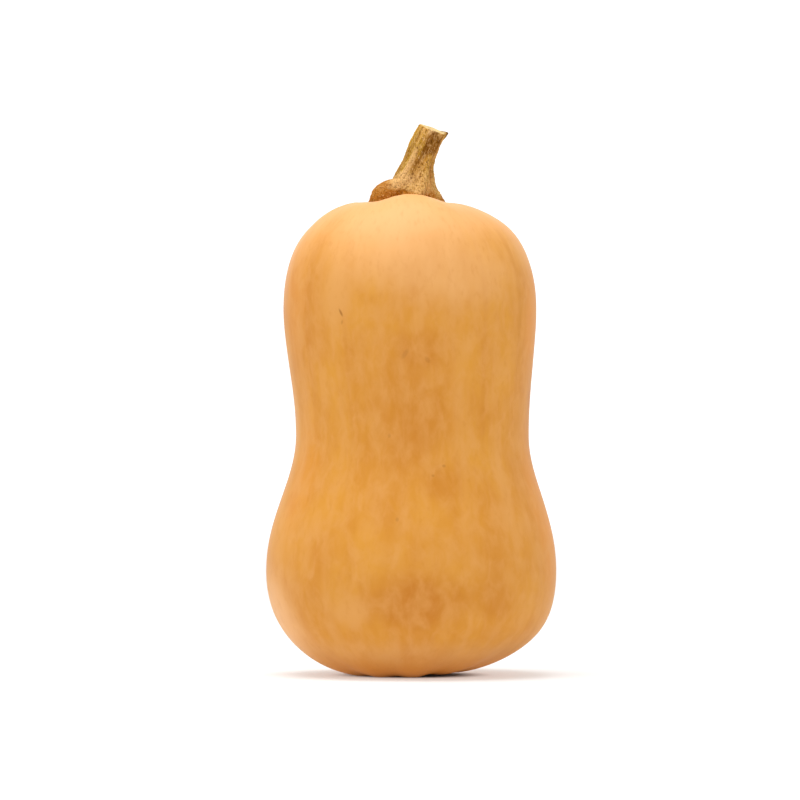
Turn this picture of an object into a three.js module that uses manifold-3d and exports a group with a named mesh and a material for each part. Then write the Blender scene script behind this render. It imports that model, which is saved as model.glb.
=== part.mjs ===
// A butternut squash as picked, standing on its blossom end, with its cut stem.
// Millimetres, +Z up. The origin is on the surface it stands on, under the middle of
// the bulb. Azimuths are degrees round the upright axis, from the front (-Y) towards +X.

import * as THREE from "three";
import { mergeVertices } from "three/addons/utils/BufferGeometryUtils.js";
import Module from "manifold-3d";

const wasm = await Module();
wasm.setup();

// Fruit: the places where its half-outline turns, from the blossom end up.
const SCAR = { radius: 4.6, edge: 0.9, proud: 0.7 };
const BLOSSOM_DIMPLE = { depth: 3.4, reach: 4 };
const BASE_RING = { inner: 17.2, outer: 20.8, reach: 1.6 };
const BULB = { radius: 61.15, height: 43.9, drop: 40.5, lift: 23.3 };
const WAIST = { radius: 49, height: 101, drop: 18.5, lift: 19.1 };
const NECK = { radius: 53.2, height: 154.6, drop: 15.7, lift: 40.5 };
const CROWN_RIM = { radius: 21.6, height: 199.6, reach: 3 };
const STEM_SEAT = { height: 194.4, reach: 9 };

// Fruit: how many rings each stretch of the half-outline takes, and the facets round it.
const STEPS = { dimple: 4, base: 11, bulb: 8, waist: 7, shoulder: 12, seat: 5 };
const FRUIT_FACETS = 80;

// Fruit: five lobes round the stem, each with its own rise, parted by furrows.
const CROWN_LOBES = 5;
const CROWN_FIRST_LOBE = 6;
const CROWN_RISES = [2.6, -1.2, -1.8, -1.5, -0.8];
const CROWN_FURROW = { depth: 1, narrowness: 3.4, from: 158, full: 197 };
const CROWN_RISE = { from: 178, full: 199 };
const CROWN_FADE = { from: 3, full: 17 };

// Fruit: ten low lobes round the blossom scar, three of which on the right stay clear of
// the surface, and the flat on each of the others that the weight presses on.
const BASE_LOBES = 10;
const BASE_FIRST_LOBE = 3;
const BASE_RISES = [0, 1.2, 1.7, 1.1, 0, 0, 0, 0, 0, 0];
const BASE_FURROW = { depth: 0.8, narrowness: 2.5, full: 3, to: 26 };
const BASE_FADE = { from: 5, full: 14 };
const RESTING_FLAT = 0.35;

// Fruit: its axis bends a little, and it is not quite round.
const AXIS = [
  { height: 0, x: -0.6, y: 0.2 },
  { height: 22, x: 0.5, y: 0.1 },
  { height: 46, x: 0.3, y: 0 },
  { height: 98, x: 0.8, y: 0.6 },
  { height: 155, x: -0.3, y: 0.4 },
  { height: 188, x: -0.8, y: -0.2 },
  { height: 203, x: -2.6, y: -0.4 },
];
const OUT_OF_ROUND = [
  { waves: 2, size: 0.007, azimuth: 38 },
  { waves: 3, size: 0.004, azimuth: 15 },
];

// Stem: its centre line leans to the right and forward, up to the knife cut. Heights on
// it are measured from the foot. Its rings lie level there and turn to face the cut.
const STEM_LINE = [
  new THREE.Vector3(-2.4, -0.4, 190),
  new THREE.Vector3(0.2, -0.4, 206.4),
  new THREE.Vector3(2.6, -0.2, 217.4),
  new THREE.Vector3(9.5, -1.4, 229.3),
];
const FOOT_HEIGHT = 198;
const CUT_FACING = new THREE.Vector3(0.36, -0.11, 0.92);
const RING_TURN = { from: 6, to: 30 };
const STEM_GAP = 0.35;
const STEM_FACETS = 50;
const STEM_RINGS = 27;

// Stem: five blunt ridges that twist from the foot to the cut, where the stem is a
// little thinner, and a skirt at the foot.
const RIDGES = 5;
const FIRST_RIDGE = 7;
const RIDGE_RADIUS = 6.9;
const GROOVE_RADIUS = 5.6;
const RIDGE_BLUNTNESS = 1.3;
const TWIST = { turn: 40, settle: 9.5 };
const TAPER = { share: 0.06, from: 12, to: 31 };
const SKIRT = { size: 3.6, full: 4, to: 19 };

// Stem: the toe that each ridge ends in. A toe reaches out to its radius and stands to
// its height; its swell and fall make it a round knob or a hollow flare.
const TOE_HALF_WIDTH = 42;
const TOES = [
  { azimuth: 7, radius: 15.4, height: 9, swell: 1, fall: 1.3 },
  { azimuth: 79, radius: 16.3, height: 9, swell: 1, fall: 1.6 },
  { azimuth: 151, radius: 15.8, height: 8, swell: 1.6, fall: 1 },
  { azimuth: 223, radius: 16.4, height: 9.5, swell: 2, fall: 0.9 },
  { azimuth: 295, radius: 18, height: 10.2, swell: 3, fall: 0.55 },
];

// Stem: the cut end, with its bevelled edge, its sunken pith and one torn spur.
const CUT = { edge: 0.9, bevel: 0.012, pith: 0.5, sink: 0.02 };
const SPUR = { azimuth: 104, halfWidth: 22, flare: 0.9, rise: 0.9, length: 4 };

// A point this near the axis is on it, where the skin faces straight up or down.
const ON_AXIS = 1e-6;

const RIND_COLOUR = 0xdb9a4e;
const STEM_COLOUR = 0xb08a45;

const UP = new THREE.Vector3(0, 0, 1);
const RIGHT = new THREE.Vector3(1, 0, 0);

const clamp01 = (value) => Math.min(Math.max(value, 0), 1);
const ramp = (from, to, value) => THREE.MathUtils.smoothstep(value, from, to);
const radians = THREE.MathUtils.degToRad;

// The angle between two azimuths, from 0 to 180 degrees.
function apart(azimuth, other) {
  const turn = THREE.MathUtils.euclideanModulo(azimuth - other, 360);
  return Math.min(turn, 360 - turn);
}

// A hump of height 1 at an azimuth, down to 0 at its half-width on either side.
function hump(azimuth, centre, halfWidth) {
  return Math.cos(clamp01(apart(azimuth, centre) / halfWidth) * radians(90)) ** 2;
}

// 1 on the crest of each of so many lobes, 0 in the furrows between them.
function lobeCrest(azimuth, first, lobes, sharpness) {
  return 1 - Math.abs(Math.sin(radians((azimuth - first) * lobes) / 2)) ** sharpness;
}

// 1 in the round-bottomed furrows between lobes, 0 on the crest of each.
function furrow(azimuth, first, lobes, narrowness) {
  return Math.abs(Math.sin(radians((azimuth - first) * lobes) / 2)) ** narrowness;
}

// Fruit

function bezier(points, steps) {
  return new THREE.CubicBezierCurve(...points).getSpacedPoints(steps);
}

// The half-outline, as points (radius, height) from the blossom scar to the stem's seat.
function fruitOutline() {
  const at = (radius, height) => new THREE.Vector2(radius, height);
  const dimple = BLOSSOM_DIMPLE.depth;
  const scar = [at(0, dimple - SCAR.proud), at(SCAR.radius - SCAR.edge, dimple - SCAR.proud)];
  const stretches = [
    bezier([
      at(SCAR.radius, dimple),
      at(SCAR.radius + BLOSSOM_DIMPLE.reach, dimple),
      at(BASE_RING.inner - BLOSSOM_DIMPLE.reach, 0),
      at(BASE_RING.inner, 0),
    ], STEPS.dimple),
    bezier([
      at(BASE_RING.outer, 0),
      at(BASE_RING.outer + BASE_RING.reach, 0),
      at(BULB.radius, BULB.height - BULB.drop),
      at(BULB.radius, BULB.height),
    ], STEPS.base),
    bezier([
      at(BULB.radius, BULB.height),
      at(BULB.radius, BULB.height + BULB.lift),
      at(WAIST.radius, WAIST.height - WAIST.drop),
      at(WAIST.radius, WAIST.height),
    ], STEPS.bulb),
    bezier([
      at(WAIST.radius, WAIST.height),
      at(WAIST.radius, WAIST.height + WAIST.lift),
      at(NECK.radius, NECK.height - NECK.drop),
      at(NECK.radius, NECK.height),
    ], STEPS.waist),
    bezier([
      at(NECK.radius, NECK.height),
      at(NECK.radius, NECK.height + NECK.lift),
      at(CROWN_RIM.radius + CROWN_RIM.reach, CROWN_RIM.height),
      at(CROWN_RIM.radius, CROWN_RIM.height),
    ], STEPS.shoulder),
    bezier([
      at(CROWN_RIM.radius, CROWN_RIM.height),
      at(CROWN_RIM.radius - CROWN_RIM.reach, CROWN_RIM.height),
      at(STEM_SEAT.reach, STEM_SEAT.height),
      at(0, STEM_SEAT.height),
    ], STEPS.seat),
  ];
  const points = [...scar, ...stretches.flat()];
  return points.filter((point, i) => i === 0 || !point.equals(points[i - 1]));
}

// Where the bent axis passes at a height, as an offset from the upright one.
function axisOffset(height) {
  const next = AXIS.findIndex((point) => point.height > height);
  if (next < 1) return next < 0 ? AXIS.at(-1) : AXIS[0];
  const [low, high] = [AXIS[next - 1], AXIS[next]];
  const part = ramp(low.height, high.height, height);
  return {
    x: THREE.MathUtils.lerp(low.x, high.x, part),
    y: THREE.MathUtils.lerp(low.y, high.y, part),
  };
}

// How far the lobes of one end lift its skin at an azimuth, each by its own rise.
function lobeRise(azimuth, first, rises) {
  const spacing = 360 / rises.length;
  return rises.reduce(
    (sum, rise, i) => sum + rise * hump(azimuth, first + i * spacing, spacing),
    0,
  );
}

// How far the crown's lobes and the base's lobes lift the skin at a place.
function skinRise(radius, height, azimuth) {
  const crown = ramp(CROWN_RISE.from, CROWN_RISE.full, height)
    * ramp(CROWN_FADE.from, CROWN_FADE.full, radius)
    * lobeRise(azimuth, CROWN_FIRST_LOBE, CROWN_RISES);
  const base = (1 - ramp(BASE_FURROW.full, BASE_FURROW.to, height))
    * ramp(BASE_FADE.from, BASE_FADE.full, radius)
    * lobeRise(azimuth, BASE_FIRST_LOBE, BASE_RISES);
  return crown + base;
}

// How deep the furrows of both ends cut in, at a radius, height and azimuth.
function furrowDepth(radius, height, azimuth) {
  const crown = ramp(CROWN_FURROW.from, CROWN_FURROW.full, height)
    * ramp(CROWN_FADE.from, CROWN_FADE.full, radius)
    * CROWN_FURROW.depth
    * furrow(azimuth, CROWN_FIRST_LOBE, CROWN_LOBES, CROWN_FURROW.narrowness);
  const base = (1 - ramp(BASE_FURROW.full, BASE_FURROW.to, height))
    * ramp(BASE_FADE.from, BASE_FADE.full, radius)
    * BASE_FURROW.depth
    * furrow(azimuth, BASE_FIRST_LOBE, BASE_LOBES, BASE_FURROW.narrowness);
  return crown + base;
}

function outOfRound(azimuth) {
  return OUT_OF_ROUND.reduce(
    (sum, wave) => sum + wave.size * Math.cos(radians(wave.waves * (azimuth - wave.azimuth))),
    1,
  );
}

// A turned outline's point (on the upright axis, with its normal) moved onto the fruit.
function fruitPoint(point, normal, extra) {
  const radius = Math.hypot(point.x, point.y);
  const height = point.z;
  const azimuth = THREE.MathUtils.radToDeg(Math.atan2(point.x, -point.y));
  const axis = axisOffset(height);
  const out = extra - furrowDepth(radius, height, azimuth);
  if (radius < ON_AXIS) normal.set(0, 0, Math.sign(normal.z));
  const rise = skinRise(radius, height, azimuth);
  point.multiply(new THREE.Vector3(outOfRound(azimuth), outOfRound(azimuth), 1));
  point.addScaledVector(normal, out);
  point.add(new THREE.Vector3(axis.x, axis.y, rise - RESTING_FLAT));
  point.z = Math.max(point.z, 0);
}

// The fruit's skin, grown outward by a margin.
function fruitGeometry(margin) {
  const start = radians(CROWN_FIRST_LOBE);
  const geometry = new THREE.LatheGeometry(fruitOutline(), FRUIT_FACETS, start);
  geometry.rotateX(Math.PI / 2);
  const { position, normal } = geometry.attributes;
  const point = new THREE.Vector3();
  const outward = new THREE.Vector3();
  for (let i = 0; i < position.count; i += 1) {
    point.fromBufferAttribute(position, i);
    outward.fromBufferAttribute(normal, i);
    fruitPoint(point, outward, margin);
    position.setXYZ(i, point.x, point.y, point.z);
  }
  return geometry;
}

// Stem

// The shaft's radius: ridges and grooves, twisted, with the skirt towards the foot.
function shaftRadius(height, azimuth) {
  const turned = TWIST.turn * (1 - Math.exp(-Math.max(height, 0) / TWIST.settle));
  const crest = lobeCrest(azimuth, FIRST_RIDGE + turned, RIDGES, RIDGE_BLUNTNESS);
  const taper = 1 - TAPER.share * ramp(TAPER.from, TAPER.to, height);
  const skirt = SKIRT.size * (1 - ramp(SKIRT.full, SKIRT.to, height));
  return THREE.MathUtils.lerp(GROOVE_RADIUS, RIDGE_RADIUS, crest) * taper + skirt;
}

// How far a toe carries the foot out beyond the shaft.
function toeReach(toe, shaft, height, azimuth) {
  const climb = clamp01(height / toe.height);
  const shape = (1 - climb ** toe.swell) ** toe.fall;
  return (toe.radius - shaft) * shape * hump(azimuth, toe.azimuth, TOE_HALF_WIDTH);
}

function spurShare(height, azimuth) {
  const top = STEM_LINE.at(-1).z - FOOT_HEIGHT;
  return hump(azimuth, SPUR.azimuth, SPUR.halfWidth) * ramp(top - SPUR.length, top, height);
}

function stemRadius(height, azimuth) {
  const shaft = shaftRadius(height, azimuth);
  const toes = TOES.reduce((sum, toe) => sum + toeReach(toe, shaft, height, azimuth), 0);
  return shaft + toes + SPUR.flare * spurShare(height, azimuth);
}

// The outline of a straight stem of radius 1, whose heights run from 0 to 1.
function stemOutline() {
  const at = (radius, share) => new THREE.Vector2(radius, share);
  const sides = Array.from({ length: STEM_RINGS }, (_, i) => {
    return at(1, i / STEM_RINGS);
  });
  const cut = [
    at(1, 1 - CUT.bevel),
    at(CUT.edge, 1),
    at(CUT.pith, 1),
    at(CUT.pith / 2, 1 - CUT.sink),
    at(0, 1 - CUT.sink),
  ];
  return [at(0, 0), ...sides, ...cut];
}

// A point of the straight stem moved onto the bent one.
function stemPoint(line, point) {
  const azimuth = THREE.MathUtils.radToDeg(Math.atan2(point.x, -point.y));
  const share = Math.hypot(point.x, point.y);
  const centre = line.getPoint(point.z);
  const height = centre.z - FOOT_HEIGHT;
  const facing = UP.clone().lerp(CUT_FACING, ramp(RING_TURN.from, RING_TURN.to, height));
  const back = facing.clone().cross(RIGHT).normalize();
  const right = back.clone().cross(facing).normalize();
  const radius = share * stemRadius(height, azimuth);
  const spur = share * SPUR.rise * spurShare(height, azimuth);
  point.copy(centre);
  point.addScaledVector(right, radius * Math.sin(radians(azimuth)));
  point.addScaledVector(back, -radius * Math.cos(radians(azimuth)));
  point.addScaledVector(facing, spur);
}

function stemGeometry() {
  const line = new THREE.CubicBezierCurve3(...STEM_LINE);
  const start = radians(FIRST_RIDGE);
  const geometry = new THREE.LatheGeometry(stemOutline(), STEM_FACETS, start);
  geometry.rotateX(Math.PI / 2);
  const { position } = geometry.attributes;
  const point = new THREE.Vector3();
  for (let i = 0; i < position.count; i += 1) {
    point.fromBufferAttribute(position, i);
    stemPoint(line, point);
    position.setXYZ(i, point.x, point.y, point.z);
  }
  return geometry;
}

// Solids and meshes

function solidFrom(geometry) {
  geometry.deleteAttribute("normal");
  geometry.deleteAttribute("uv");
  const merged = mergeVertices(geometry);
  const vertProperties = new Float32Array(merged.attributes.position.array);
  const triVerts = new Uint32Array(merged.index.array);
  const mesh = new wasm.Mesh({ numProp: 3, vertProperties, triVerts });
  mesh.merge();
  return new wasm.Manifold(mesh);
}

function geometryFrom(solid) {
  const { vertProperties, triVerts } = solid.getMesh();
  const geometry = new THREE.BufferGeometry();
  geometry.setAttribute("position", new THREE.BufferAttribute(vertProperties, 3));
  geometry.setIndex(new THREE.BufferAttribute(triVerts, 1));
  geometry.computeVertexNormals();
  return geometry;
}

function named(name, geometry, material) {
  const mesh = new THREE.Mesh(geometry, material);
  mesh.name = name;
  return mesh;
}

function fruit() {
  const rind = new THREE.MeshStandardMaterial({
    color: RIND_COLOUR,
    roughness: 0.45,
    metalness: 0,
  });
  return named("fruit", geometryFrom(solidFrom(fruitGeometry(0))), rind);
}

// The stem's foot lies on the crown, so the crown is cut out of its underside.
function stem() {
  const driedStem = new THREE.MeshStandardMaterial({
    color: STEM_COLOUR,
    roughness: 0.7,
    metalness: 0,
  });
  const crown = solidFrom(fruitGeometry(STEM_GAP));
  const whole = solidFrom(stemGeometry());
  return named("stem", geometryFrom(whole.subtract(crown)), driedStem);
}

const squash = new THREE.Group();
squash.add(fruit(), stem());

export default squash;
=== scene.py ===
"""A butternut squash as picked: a smooth waxed rind and a dry, ridged stem.

Lengths named in the constants are millimetres, and azimuths are degrees round the upright
axis, from the front (-Y) towards +X. The pieces themselves are in metres.
"""

import math

import bpy
from bpy.props import FloatProperty, FloatVectorProperty, IntProperty, PointerProperty
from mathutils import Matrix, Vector


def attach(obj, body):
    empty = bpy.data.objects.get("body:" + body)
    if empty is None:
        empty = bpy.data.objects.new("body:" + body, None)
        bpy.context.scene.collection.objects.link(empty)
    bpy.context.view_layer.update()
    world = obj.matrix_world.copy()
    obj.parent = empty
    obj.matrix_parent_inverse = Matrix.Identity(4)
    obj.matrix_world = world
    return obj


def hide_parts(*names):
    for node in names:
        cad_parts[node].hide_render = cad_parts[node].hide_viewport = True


bl_info = {
    "name": "Butternut Squash",
    "version": (1, 0, 0),
    "blender": (4, 5, 0),
    "location": "3D View > Sidebar > Squash",
    "description": "Grows the rind and the stem of a butternut squash round its frame",
    "category": "Object",
}

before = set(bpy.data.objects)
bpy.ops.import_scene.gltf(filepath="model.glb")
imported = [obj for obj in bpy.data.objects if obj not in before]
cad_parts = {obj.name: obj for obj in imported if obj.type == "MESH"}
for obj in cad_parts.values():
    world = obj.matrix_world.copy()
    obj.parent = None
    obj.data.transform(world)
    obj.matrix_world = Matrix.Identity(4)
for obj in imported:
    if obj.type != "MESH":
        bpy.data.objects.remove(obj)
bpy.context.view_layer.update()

MM = 0.001

# Rind: the places where its half-outline turns, from the blossom end up.
SCAR = {"radius": 4.6, "edge": 0.9, "proud": 0.7}
DIMPLE = {"depth": 3.4, "reach": 4}
BASE_RING = {"inner": 17.2, "outer": 20.8, "reach": 1.6}
BULB = {"radius": 61.05, "height": 43.9, "drop": 40.5, "lift": 23.3}
WAIST = {"radius": 49, "height": 101, "drop": 18.5, "lift": 19.1}
NECK = {"radius": 53.2, "height": 154.6, "drop": 15.7, "lift": 40.5}
CROWN_RIM = {"radius": 21.6, "height": 199.6, "reach": 3}
STEM_SEAT = {"height": 194.4, "reach": 9}

# Rind: the lobes of its two ends, each with its own rise, parted by furrows. The strengths are
# those at the lower and at the upper height, and they grow from 0 at the inner radius to
# full at the outer one.
CROWN = {
    "first_lobe": 6,
    "rises": (2.6, -1.2, -1.8, -1.5, -0.8),
    "narrowness": 3.4,
    "rise_heights": (178, 199),
    "furrow_heights": (158, 197),
    "strengths": (0.0, 1.0),
    "radii": (3, 17),
    "furrow": "Crown Furrow Depth",
}
BASE = {
    "first_lobe": 3,
    "rises": (0, 1.2, 1.7, 1.1, 0, 0, 0, 0, 0, 0),
    "narrowness": 2.5,
    "rise_heights": (3, 26),
    "furrow_heights": (3, 26),
    "strengths": (1.0, 0.0),
    "radii": (5, 14),
    "furrow": "Base Furrow Depth",
}
RESTING_FLAT = 0.35

# Rind: its axis bends a little (height, x, y), and it is not quite round (waves, size, azimuth).
AXIS = (
    (0, -0.6, 0.2),
    (22, 0.5, 0.1),
    (46, 0.3, 0),
    (98, 0.8, 0.6),
    (155, -0.3, 0.4),
    (188, -0.8, -0.2),
    (203, -2.6, -0.4),
)
OUT_OF_ROUND = ((2, 0.007, 38), (3, 0.004, 15))

# Points nearer than this are joined where a seam or a pole closes.
SEAM_GAP = 0.001

# How many straight steps each stretch of an outline or a line is drawn with.
CURVE_STEPS = 64

# Rind: how its rings crowd towards its two ends, where the scar and the furrows are.
RING_CROWDING = 0.6

# Rind: low ribs that run from end to end, and fade out towards the poles.
RIB = {"height": 0.16, "from": 0.5, "full": 8}
MERIDIAN_RADIUS = 55

# Rind: how ragged the scar's colour is, how far past the scar it starts and over how much it
# deepens, as shares of that, and how far up it can lie.
SCAR_COLOUR = {"ragged": 2.4, "past": 0.7, "deepens": 0.4, "below": 12}

# Rind: healed scratches and dots, and broad patches of deeper, bloomed, russet or cream skin. Some
# are painted light: deeper and russet patches along the sides paint shade, bloomed and cream patches
# on the left side paint a pale reflection, and cream patches round the crown paint the broad
# highlight of the overhead lamp over paler skin. Each has its azimuth, height, size (across,
# through, along), tilt and strength.
MARKS = (
    (-33.7, 152.5, (0.9, 4, 2.9), -30, 0.6),
    (-33.2, 148.6, (0.9, 4, 1.7), 15, 0.25),
    (-2.8, 135.5, (1.6, 4, 3.6), 32, 0.22),
    (7.6, 133, (1.5, 4, 2.4), -35, 0.2),
    (15.6, 89, (1.3, 4, 1.0), 0, 0.3),
    (10.2, 85, (1.1, 4, 0.9), 0, 0.25),
    (-10.8, 101.5, (1.1, 4, 1.5), 0, 0.2),
    (-5.8, 67, (1.1, 4, 1.4), 0, 0.22),
    (-80, 20.6, (2, 4, 1.1), -30, 0.6),
    (133, 120, (1.1, 4, 4.2), 20, 0.6),
    (205, 66, (1.0, 4, 3.6), -42, 0.6),
    (248, 160, (1.2, 4, 1.0), 0, 0.5),
)
# The deeper patches at azimuths -84 and 86 lie along the sides and are painted shade there; the
# others are deeper skin.
DEEP_AND_SIDE_SHADE_PATCHES = (
    (3, 33, (36, 30, 20), 0, 0.95),
    (-4, 108, (26, 30, 56), 0, 0.45),
    (6, 138, (17, 30, 14), 0, 0.5),
    (34, 34, (18, 25, 14), 0, 0.5),
    (15, 82, (13, 30, 14), 0, 0.5),
    (86, 104, (14, 40, 92), 0, 0.7),
    (-84, 158, (14, 40, 26), 0, 0.6),
    (170, 70, (34, 30, 36), 12, 0.6),
    (232, 128, (22, 30, 44), 0, 0.5),
)
# The bloomed patches at azimuths -78 and -82, along the left side, are a painted pale reflection
# over bloom; the others are wax bloom.
BLOOM_AND_REFLECTION_PATCHES = (
    (-26, 30, (15, 25, 13), -10, 0.8),
    (-78, 28, (20, 35, 30), 0, 1.0),
    (-36, 160, (13, 30, 22), 0, 0.8),
    (46, 76, (5, 25, 46), 0, 0.6),
    (-12, 178, (5, 25, 12), 6, 0.6),
    (-82, 108, (8, 35, 24), 0, 0.6),
    (-1, 24, (7, 25, 6), 30, 0.4),
    (118, 46, (24, 25, 30), 8, 0.6),
    (215, 150, (18, 25, 30), -6, 0.5),
)
# The russet patches at azimuths -70, -62, 78 and 76 lie along the sides and are painted shade there;
# the one at 140 is russet skin.
RUSSET_AND_SIDE_SHADE_PATCHES = (
    (-70, 158, (19, 30, 36), 0, 0.4),
    (-62, 84, (17, 30, 42), 0, 0.4),
    (78, 150, (20, 30, 36), 0, 0.8),
    (76, 66, (22, 30, 60), 0, 0.8),
    (140, 96, (20, 30, 40), 0, 0.7),
)
# The cream patches round the crown and shoulders paint the broad highlight of the overhead lamp over
# paler skin; the two low on the left at -74 paint a pale reflection, and the low one at the front
# paints light from below.
CREAM_AND_HIGHLIGHT_PATCHES = (
    (0, 196, (74, 100, 24), 0, 0.75),
    (-74, 26, (32, 46, 34), -15, 0.6),
    (-74, 25, (22, 46, 24), -15, 0.7),
    (0, 11, (62, 60, 10), 0, 0.25),
    (-86, 168, (16, 40, 22), 0, 0.3),
    (-14, 178, (44, 34, 26), 0, 0.6),
    (18, 170, (44, 34, 26), 0, 0.5),
    (100, 182, (44, 40, 28), 0, 0.7),
    (180, 184, (54, 50, 30), 0, 0.7),
    (262, 182, (44, 40, 28), 0, 0.7),
)

# Stem: the Bezier line it follows, and how its rings turn to face the cut.
STEM_LINE = ((-2.4, -0.4, 190), (0.2, -0.4, 206.4), (2.6, -0.2, 217.4), (9.5, -1.4, 229.2))
FOOT_HEIGHT = 198
CUT_FACING = (0.36, -0.11, 0.92)
RING_TURN = {"from": 6, "to": 30}
STEM_LENGTH = 41
OUTLINE_RADIUS = 6.5

# Stem: how its rings crowd on the toes' round tops, as (share of rings, share of outline).
RING_PLACES = ((0, 0), (0.06, 0.245), (0.18, 0.38), (0.48, 0.475), (0.88, 0.87), (1, 1))
SEAT_PRESS = 0.5

# A height above the whole squash, in metres, to look down from.
ABOVE_ALL = 0.3

# Stem: five blunt ridges that twist from the foot to the cut, and a skirt at the foot.
RIDGES = 5
FIRST_RIDGE = 7
RIDGE_BLUNTNESS = 1.3
TWIST_SETTLE = 9.5
TAPER = {"share": 0.06, "from": 12, "to": 31}
SKIRT = {"size": 3.6, "full": 4, "to": 19}

# Stem: the toe that each ridge ends in (azimuth, radius, height, swell, fall).
TOE_HALF_WIDTH = 42
TOES = (
    (7, 15.4, 9, 1, 1.3),
    (79, 16.3, 9, 1, 1.6),
    (151, 15.8, 8, 1.6, 1),
    (223, 16.4, 9.5, 2, 0.9),
    (295, 18, 10.2, 3, 0.55),
)

# Stem: the cut end, with its bevelled edge and its sunken pith, as shares of its radius and of
# the stem's length, and one torn spur.
CUT = {"edge": 0.9, "bevel": 0.012, "pith": 0.5, "sink": 0.02}
SPUR = {"azimuth": 104, "half_width": 22, "flare": 0.9, "rise": 0.9, "length": 4}

# Stem: from what share of its radius inwards the cut's flesh shows, and from what share of
# the spur upwards it is bark again.
CUT_MASK = (0.96, 0.91)
SPUR_MASK = (0.25, 0.6)

# Stem: below what height its fibres run upright, and how wide and how high its warts are.
TOE_FIBRES = {"from": 12, "to": 6}
WART = {"width": 1.25, "top": 0.1, "edge": 0.6, "full": 3, "to": 17}

# Stem: where its bark is darker or has painted shade (in grooves, along its right edge and at the
# foot where it meets the rind), yellower, paler or ruddier, as (azimuth, height, size, tilt,
# strength).
SHADE_AND_DARK_BARK_PATCHES = (
    (-4, 36, (6.5, 6, 9.5), 0, 1.0),
    (22, 26, (2.4, 4, 10), 0, 0.6),
    (-40, 12.6, (5, 6, 2.4), 0, 0.6),
    (-29, 31, (2.6, 4, 10), 0, 0.45),
    (-88, 36, (3, 5, 7), 0, 0.4),
    (-48, 25, (2.2, 5, 6), 0, 0.5),
    (150, 32, (5, 5, 12), 0, 0.7),
    (235, 24, (2.5, 4, 12), 0, 0.5),
)
OLIVES = ((-105, 24, (5, 7, 20), 0, 0.9), (160, 20, (6, 7, 18), 0, 0.7))
PALES = (
    (-36, 40.2, (3.4, 5, 2), 0, 0.8),
    (-64, 26, (2.2, 5, 9), 0, 0.6),
    (-76, 18, (8, 10, 5), 0, 0.5),
)
RUDDY = (
    (42, 20, (4, 6, 14), 0, 0.5),
    (-46, 12, (6, 9, 2.8), 0, 1.0),
    (-90, 14, (4.8, 9, 6.5), 0, 1.3),
    (190, 14, (4, 5, 9), 0, 0.7),
)

# Stem: the ring of vessels in the cut, at a share of its radius, and how far a noise lets each
# stray round it and across it.
VESSELS = {"count": 15, "share": 0.62, "half": 0.085, "round": 7.0, "across": 0.3}

# Noises: how wide and how long their spots are, and, in the materials, the seed of each.
DENTS = {"width": 34, "length": 34, "detail": 1.0}
RIBS = {"width": 11, "length": 160, "detail": 1.0}
CLOUDS = {"width": 26, "length": 40, "seed": 1.0, "detail": 3.0}
MOTTLES = {"width": 12, "length": 20, "seed": 2.0, "detail": 3.0, "swirl": 0.6}
STREAKS = {"width": 6, "length": 10, "seed": 3.0, "detail": 5.0, "roughness": 0.55, "swirl": 0.5}
FLECKS = {"width": 2.2, "length": 3.8, "seed": 4.0, "detail": 3.0}
BANDS = {"width": 7, "length": 190, "seed": 5.0, "detail": 1.5}
PORES = {"width": 0.9, "length": 1.1, "seed": 6.0, "detail": 3.0}
CRACKS = {"width": 0.9, "length": 2.5, "seed": 7.0, "detail": 3.0}
FIBRES = {"width": 0.6, "length": 5}
CRUST = {"width": 0.65, "length": 1.5, "roughness": 0.6}
LUMPS = {"width": 4, "length": 4}
GRIT = {"width": 0.42, "length": 0.7, "seed": 2.0}
BLOTCHES = {"width": 2.2, "length": 5, "seed": 3.0, "detail": 3.0}
TINTS = {"width": 5, "length": 12, "seed": 4.0}
DRIFT = {"width": 3, "length": 3, "seed": 8.0}
RAYS = {"width": 0.5, "length": 0.5, "seed": 7.0}
SHEET_FIBRES = {"width": 4, "length": 4, "seed": 1.0}

# Stem: painted shade darkens its grooves below a height of their crest, and its foot reddens between
# two heights, each up to its full strength, and a noise breaks both up.
GROOVE_SHADE = {"crest": 0.6, "full": 0.3, "breakup": 1.1}
FOOT_REDNESS = {"from": 6, "to": 1, "full": 0.7, "breakup": 1.2}

# The share of a patch's size in which it is at its full strength.
PATCH_CORE = 0.15

# A patch of the rind is at half strength where its noise is low, and at full where it is high.
PATCH_BREAKUP = (0.2, 0.8, 0.5, 1.0)

# How shiny each surface is: its roughness where its noise is low and where it is high, and
# the strength of its clear reflection.
RIND_GLOSS = {"low": 0.38, "high": 0.48, "specular": 0.12}
STEM_GLOSS = {"low": 0.62, "high": 0.85, "specular": 0.06}
GLOSS_NOISE = (0.3, 0.7)
PLANT_IOR = 1.45

# How deep the bump of each surface is, and how much the rind's flecks add to its pores.
RIND_BUMP = {"strength": 0.4, "depth": 0.05, "flecks": 1.5}
STEM_BUMP = {"strength": 0.8, "depth": 0.3}

# The camera stands far off, nearly level, aims a little left of the axis, and sees so many
# metres far.
CAMERA = {"lens": 400, "sensor": 36, "across": 336, "elevation": 1, "sees": 100}
AIM = (-4.6, 0, 115.5)

# Light: where the overhead lamp hangs, in metres, and how the floor's glow grows from the middle
# outwards (radius in metres, share of the far glow). The floor glows as a fill light, and having no
# glow round the squash's base paints a contact shadow there.
LAMP_PLACE = (-0.15, -0.05, 1.2)
FLOOR_GLOW_AND_PAINTED_SHADOW = ((0.018, 0.0), (0.036, 0.58), (0.8, 0.58), (2.4, 1.0))

# The floor is flat out to a radius, then bends up into a wall, in metres.
COVE = {"floor": 4.6, "bend": 1.5, "wall": 3.0, "steps": 16, "sides": 96}

# The floor's sheet: its roughness, and the share of its colour left where it is darkest.
SHEET = {"roughness": 0.95, "darkest": 0.985}

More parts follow.
